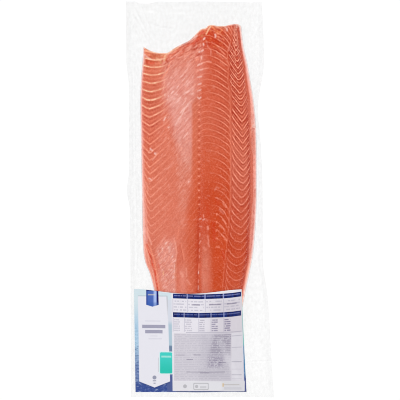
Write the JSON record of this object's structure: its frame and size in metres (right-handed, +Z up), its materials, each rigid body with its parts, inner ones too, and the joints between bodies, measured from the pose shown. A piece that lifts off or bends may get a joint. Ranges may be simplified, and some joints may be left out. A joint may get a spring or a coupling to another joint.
{
  "type": "vacuum-packed raw salmon fillet",
  "caption": "Side of raw salmon, flesh side up, vacuum sealed in a clear flat pouch with a label over the tail end.",
  "frame": {"origin": "middle of the pack's footprint, on the surface it lies on", "axes": "+Y from the tail end to the head end, along the length; +X from the belly edge to the back edge; +Z up, out of the flesh side"},
  "size_m": [0.259, 0.693, 0.032],
  "materials": {
    "salmon_flesh": "wet, smooth, with pale lines between the flakes",
    "clear_film": "clear glossy plastic film with fine creases",
    "label_print": "smooth coated paper, plain colour fields"
  },
  "bodies": {
    "root": {"sealed_pouch": "salmon_flesh", "label": "label_print"}
  },
  "joints": []
}
